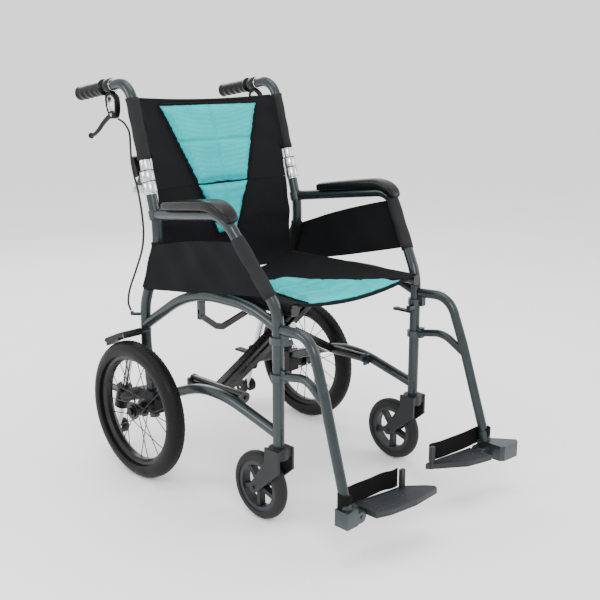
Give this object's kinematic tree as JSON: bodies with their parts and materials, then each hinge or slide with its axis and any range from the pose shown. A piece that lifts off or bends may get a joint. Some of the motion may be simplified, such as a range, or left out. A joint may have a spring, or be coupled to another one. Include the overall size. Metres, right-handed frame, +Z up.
{
  "type": "transport wheelchair",
  "caption": "Folding attendant-propelled wheelchair with small spoked rear wheels, castors, push handles with brakes, swing-away legrests and flip-up footplates.",
  "frame": {"origin": "floor point under the middle of the chair's outer box", "axes": "the user faces -Y, +Y to the push handles, +X to the user's left, +Z up"},
  "size_m": [0.626, 0.9697, 0.9426],
  "materials": {
    "frame": "satin graphite paint",
    "arm_pad": "glossy moulded pad",
    "guard": "coated cloth panel",
    "black_plastic": "moulded black",
    "slate_plastic": "moulded dark slate",
    "tyre": "treaded rubber",
    "castor_tyre": "smooth solid rubber",
    "rim": "satin black",
    "spokes": "drawn wire",
    "steel": "brushed",
    "grip": "ribbed hand grip",
    "cable": "smooth cable jacket",
    "webbing": "woven webbing",
    "brace": "gloss black paint",
    "fabric": "black cloth with a turquoise mesh panel"
  },
  "bodies": {
    "frame_r": {"side_tube_r": "frame", "rear_post_r": "frame", "side_arches_r": "frame", "arm_pad_r": "arm_pad", "skirt_guard_r": "guard", "axle_block_r": "black_plastic", "cane_joint_r": "steel", "brake_cable_r": "cable", "back_lower": "fabric"},
    "cane_r": {"cane_r": "frame", "grip_r": "grip", "brake_housing_r": "black_plastic", "back_upper": "fabric"},
    "cane_latch_r": {"cane_latch_r": "black_plastic"},
    "brake_lever_r": {"brake_lever_r": "black_plastic"},
    "brake_arm_r": {"brake_arm_r": "black_plastic"},
    "wheel_r": {"tyre_r": "tyre", "rim_r": "rim", "hub_r": "spokes"},
    "castor_fork_r": {"castor_fork_r": "slate_plastic"},
    "castor_wheel_r": {"castor_hub_r": "slate_plastic", "castor_tyre_r": "castor_tyre"},
    "hanger_r": {"hanger_r": "frame", "heel_strap_r": "webbing"},
    "release_lever_r": {"release_lever_r": "black_plastic"},
    "footplate_r": {"footplate_r": "slate_plastic"},
    "anti_tip_r": {"anti_tip_tube_r": "steel"},
    "anti_tip_wheels_r": {"anti_tip_wheels_r": "castor_tyre"},
    "link_r": {"link_r": "brace"},
    "frame_l": {"side_tube_l": "frame", "rear_post_l": "frame", "side_arches_l": "frame", "arm_pad_l": "arm_pad", "skirt_guard_l": "guard", "axle_block_l": "black_plastic", "cane_joint_l": "steel", "brake_cable_l": "cable"},
    "cane_l": {"cane_l": "frame", "grip_l": "grip", "brake_housing_l": "black_plastic"},
    "cane_latch_l": {"cane_latch_l": "black_plastic"},
    "brake_lever_l": {"brake_lever_l": "black_plastic"},
    "brake_arm_l": {"brake_arm_l": "black_plastic"},
    "wheel_l": {"tyre_l": "tyre", "rim_l": "rim", "hub_l": "spokes"},
    "castor_fork_l": {"castor_fork_l": "slate_plastic"},
    "castor_wheel_l": {"castor_hub_l": "slate_plastic", "castor_tyre_l": "castor_tyre"},
    "hanger_l": {"hanger_l": "frame", "heel_strap_l": "webbing"},
    "release_lever_l": {"release_lever_l": "black_plastic"},
    "footplate_l": {"footplate_l": "slate_plastic"},
    "anti_tip_l": {"anti_tip_tube_l": "steel"},
    "anti_tip_wheels_l": {"anti_tip_wheels_l": "castor_tyre"},
    "link_l": {"link_l": "brace"},
    "brace_a": {"brace_a": "brace", "brace_bolt": "steel", "seat": "fabric"},
    "brace_b": {"brace_b": "brace"}
  },
  "joints": [
    {"name": "fold", "type": "hinge", "parent": "frame_r", "child": "brace_a", "pos_m": [-0.202, 0.011, 0.252], "axis": [0, -1, 0], "range_deg": [0, 47], "deforming": ["seat", "back_lower", "back_upper"]},
    {"name": "scissor", "type": "hinge", "parent": "brace_a", "child": "brace_b", "pos_m": [0, 0.011, 0.366], "axis": [0, -1, 0], "range_deg": [-94, 0]},
    {"name": "fold_left_frame", "type": "hinge", "parent": "brace_b", "child": "frame_l", "pos_m": [0.202, 0.011, 0.252], "axis": [0, -1, 0], "range_deg": [0, 47]},
    {"name": "cane_fold_r", "type": "hinge", "parent": "frame_r", "child": "cane_r", "pos_m": [-0.229, 0.251, 0.691], "axis": [-1, 0, 0], "range_deg": [0, 110], "deforming": ["brake_cable_r"]},
    {"name": "cane_latch_r", "type": "hinge", "parent": "cane_r", "child": "cane_latch_r", "pos_m": [-0.229, 0.2451, 0.72359], "axis": [-1, 0, 0], "range_deg": [0, 15], "stiffness_Nm_per_rad": 0.5, "springref_deg": -5.73},
    {"name": "brake_lever_r", "type": "hinge", "parent": "cane_r", "child": "brake_lever_r", "pos_m": [-0.229, 0.34, 0.858], "axis": [1, 0, 0], "range_deg": [0, 14], "stiffness_Nm_per_rad": 1.5, "springref_deg": -11.46},
    {"name": "brake_arm_r", "type": "hinge", "parent": "frame_r", "child": "brake_arm_r", "pos_m": [-0.251, 0.238, 0.35], "axis": [-1, 0, 0], "range_deg": [0, 1.4]},
    {"name": "wheel_spin_r", "type": "hinge", "parent": "frame_r", "child": "wheel_r", "pos_m": [-0.287, 0.213, 0.168], "axis": [1, 0, 0], "continuous": true},
    {"name": "castor_swivel_r", "type": "hinge", "parent": "frame_r", "child": "castor_fork_r", "pos_m": [-0.229, -0.215, 0.17], "axis": [0, 0, 1], "continuous": true},
    {"name": "castor_spin_r", "type": "hinge", "parent": "castor_fork_r", "child": "castor_wheel_r", "pos_m": [-0.229, -0.158, 0.0775], "axis": [1, 0, 0], "continuous": true},
    {"name": "hanger_swing_r", "type": "hinge", "parent": "frame_r", "child": "hanger_r", "pos_m": [-0.229, -0.215, 0.38], "axis": [0, 0, -1], "range_deg": [0, 90]},
    {"name": "release_lever_r", "type": "hinge", "parent": "hanger_r", "child": "release_lever_r", "pos_m": [-0.203, -0.22, 0.4], "axis": [0, 0, -1], "range_deg": [0, 20], "stiffness_Nm_per_rad": 0.3, "springref_deg": -5.73},
    {"name": "footplate_flip_r", "type": "hinge", "parent": "hanger_r", "child": "footplate_r", "pos_m": [-0.218, -0.425, 0.098], "axis": [0, -1, 0], "range_deg": [0, 72], "deforming": ["heel_strap_r"]},
    {"name": "anti_tip_slide_r", "type": "slide", "parent": "frame_r", "child": "anti_tip_r", "axis": [0, -0.3162, 0.9487], "range_m": [0, 0.036]},
    {"name": "anti_tip_spin_r", "type": "hinge", "parent": "anti_tip_r", "child": "anti_tip_wheels_r", "pos_m": [-0.225, 0.397, 0.054], "axis": [1, 0, 0], "continuous": true},
    {"name": "link_turn_r", "type": "hinge", "parent": "frame_r", "child": "link_r", "pos_m": [-0.215, 0.051, 0.419], "axis": [0, -1, 0], "range_deg": [0, 74.8]},
    {"name": "cane_fold_l", "type": "hinge", "parent": "frame_l", "child": "cane_l", "pos_m": [0.229, 0.251, 0.691], "axis": [-1, 0, 0], "range_deg": [0, 110], "deforming": ["brake_cable_l"]},
    {"name": "cane_latch_l", "type": "hinge", "parent": "cane_l", "child": "cane_latch_l", "pos_m": [0.229, 0.2451, 0.72359], "axis": [-1, 0, 0], "range_deg": [0, 15], "stiffness_Nm_per_rad": 0.5, "springref_deg": -5.73},
    {"name": "brake_lever_l", "type": "hinge", "parent": "cane_l", "child": "brake_lever_l", "pos_m": [0.229, 0.34, 0.858], "axis": [1, 0, 0], "range_deg": [0, 14], "stiffness_Nm_per_rad": 1.5, "springref_deg": -11.46},
    {"name": "brake_arm_l", "type": "hinge", "parent": "frame_l", "child": "brake_arm_l", "pos_m": [0.251, 0.238, 0.35], "axis": [-1, 0, 0], "range_deg": [0, 1.4]},
    {"name": "wheel_spin_l", "type": "hinge", "parent": "frame_l", "child": "wheel_l", "pos_m": [0.287, 0.213, 0.168], "axis": [1, 0, 0], "continuous": true},
    {"name": "castor_swivel_l", "type": "hinge", "parent": "frame_l", "child": "castor_fork_l", "pos_m": [0.229, -0.215, 0.17], "axis": [0, 0, 1], "continuous": true},
    {"name": "castor_spin_l", "type": "hinge", "parent": "castor_fork_l", "child": "castor_wheel_l", "pos_m": [0.229, -0.158, 0.0775], "axis": [1, 0, 0], "continuous": true},
    {"name": "hanger_swing_l", "type": "hinge", "parent": "frame_l", "child": "hanger_l", "pos_m": [0.229, -0.215, 0.38], "axis": [0, 0, 1], "range_deg": [0, 90]},
    {"name": "release_lever_l", "type": "hinge", "parent": "hanger_l", "child": "release_lever_l", "pos_m": [0.203, -0.22, 0.4], "axis": [0, 0, 1], "range_deg": [0, 20], "stiffness_Nm_per_rad": 0.3, "springref_deg": -5.73},
    {"name": "footplate_flip_l", "type": "hinge", "parent": "hanger_l", "child": "footplate_l", "pos_m": [0.218, -0.425, 0.098], "axis": [0, 1, 0], "range_deg": [0, 72], "deforming": ["heel_strap_l"]},
    {"name": "anti_tip_slide_l", "type": "slide", "parent": "frame_l", "child": "anti_tip_l", "axis": [0, -0.3162, 0.9487], "range_m": [0, 0.036]},
    {"name": "anti_tip_spin_l", "type": "hinge", "parent": "anti_tip_l", "child": "anti_tip_wheels_l", "pos_m": [0.225, 0.397, 0.054], "axis": [1, 0, 0], "continuous": true},
    {"name": "link_turn_l", "type": "hinge", "parent": "frame_l", "child": "link_l", "pos_m": [0.215, 0.051, 0.419], "axis": [0, 1, 0], "range_deg": [0, 74.8]}
  ],
  "couplings": [
    {"joint": "scissor", "follows": "fold", "ratio": -2},
    {"joint": "fold_left_frame", "follows": "fold", "ratio": 1},
    {"joint": "brake_arm_r", "follows": "brake_lever_r", "ratio": 0.1},
    {"joint": "footplate_flip_r", "follows": "fold", "ratio": 1.5318},
    {"joint": "link_turn_r", "follows": "fold", "ratio": 1.5914},
    {"joint": "brake_arm_l", "follows": "brake_lever_l", "ratio": 0.1},
    {"joint": "footplate_flip_l", "follows": "fold", "ratio": 1.5318},
    {"joint": "link_turn_l", "follows": "fold", "ratio": 1.5914},
    {"joint": "cane_fold_l", "follows": "cane_fold_r", "ratio": 1}
  ]
}
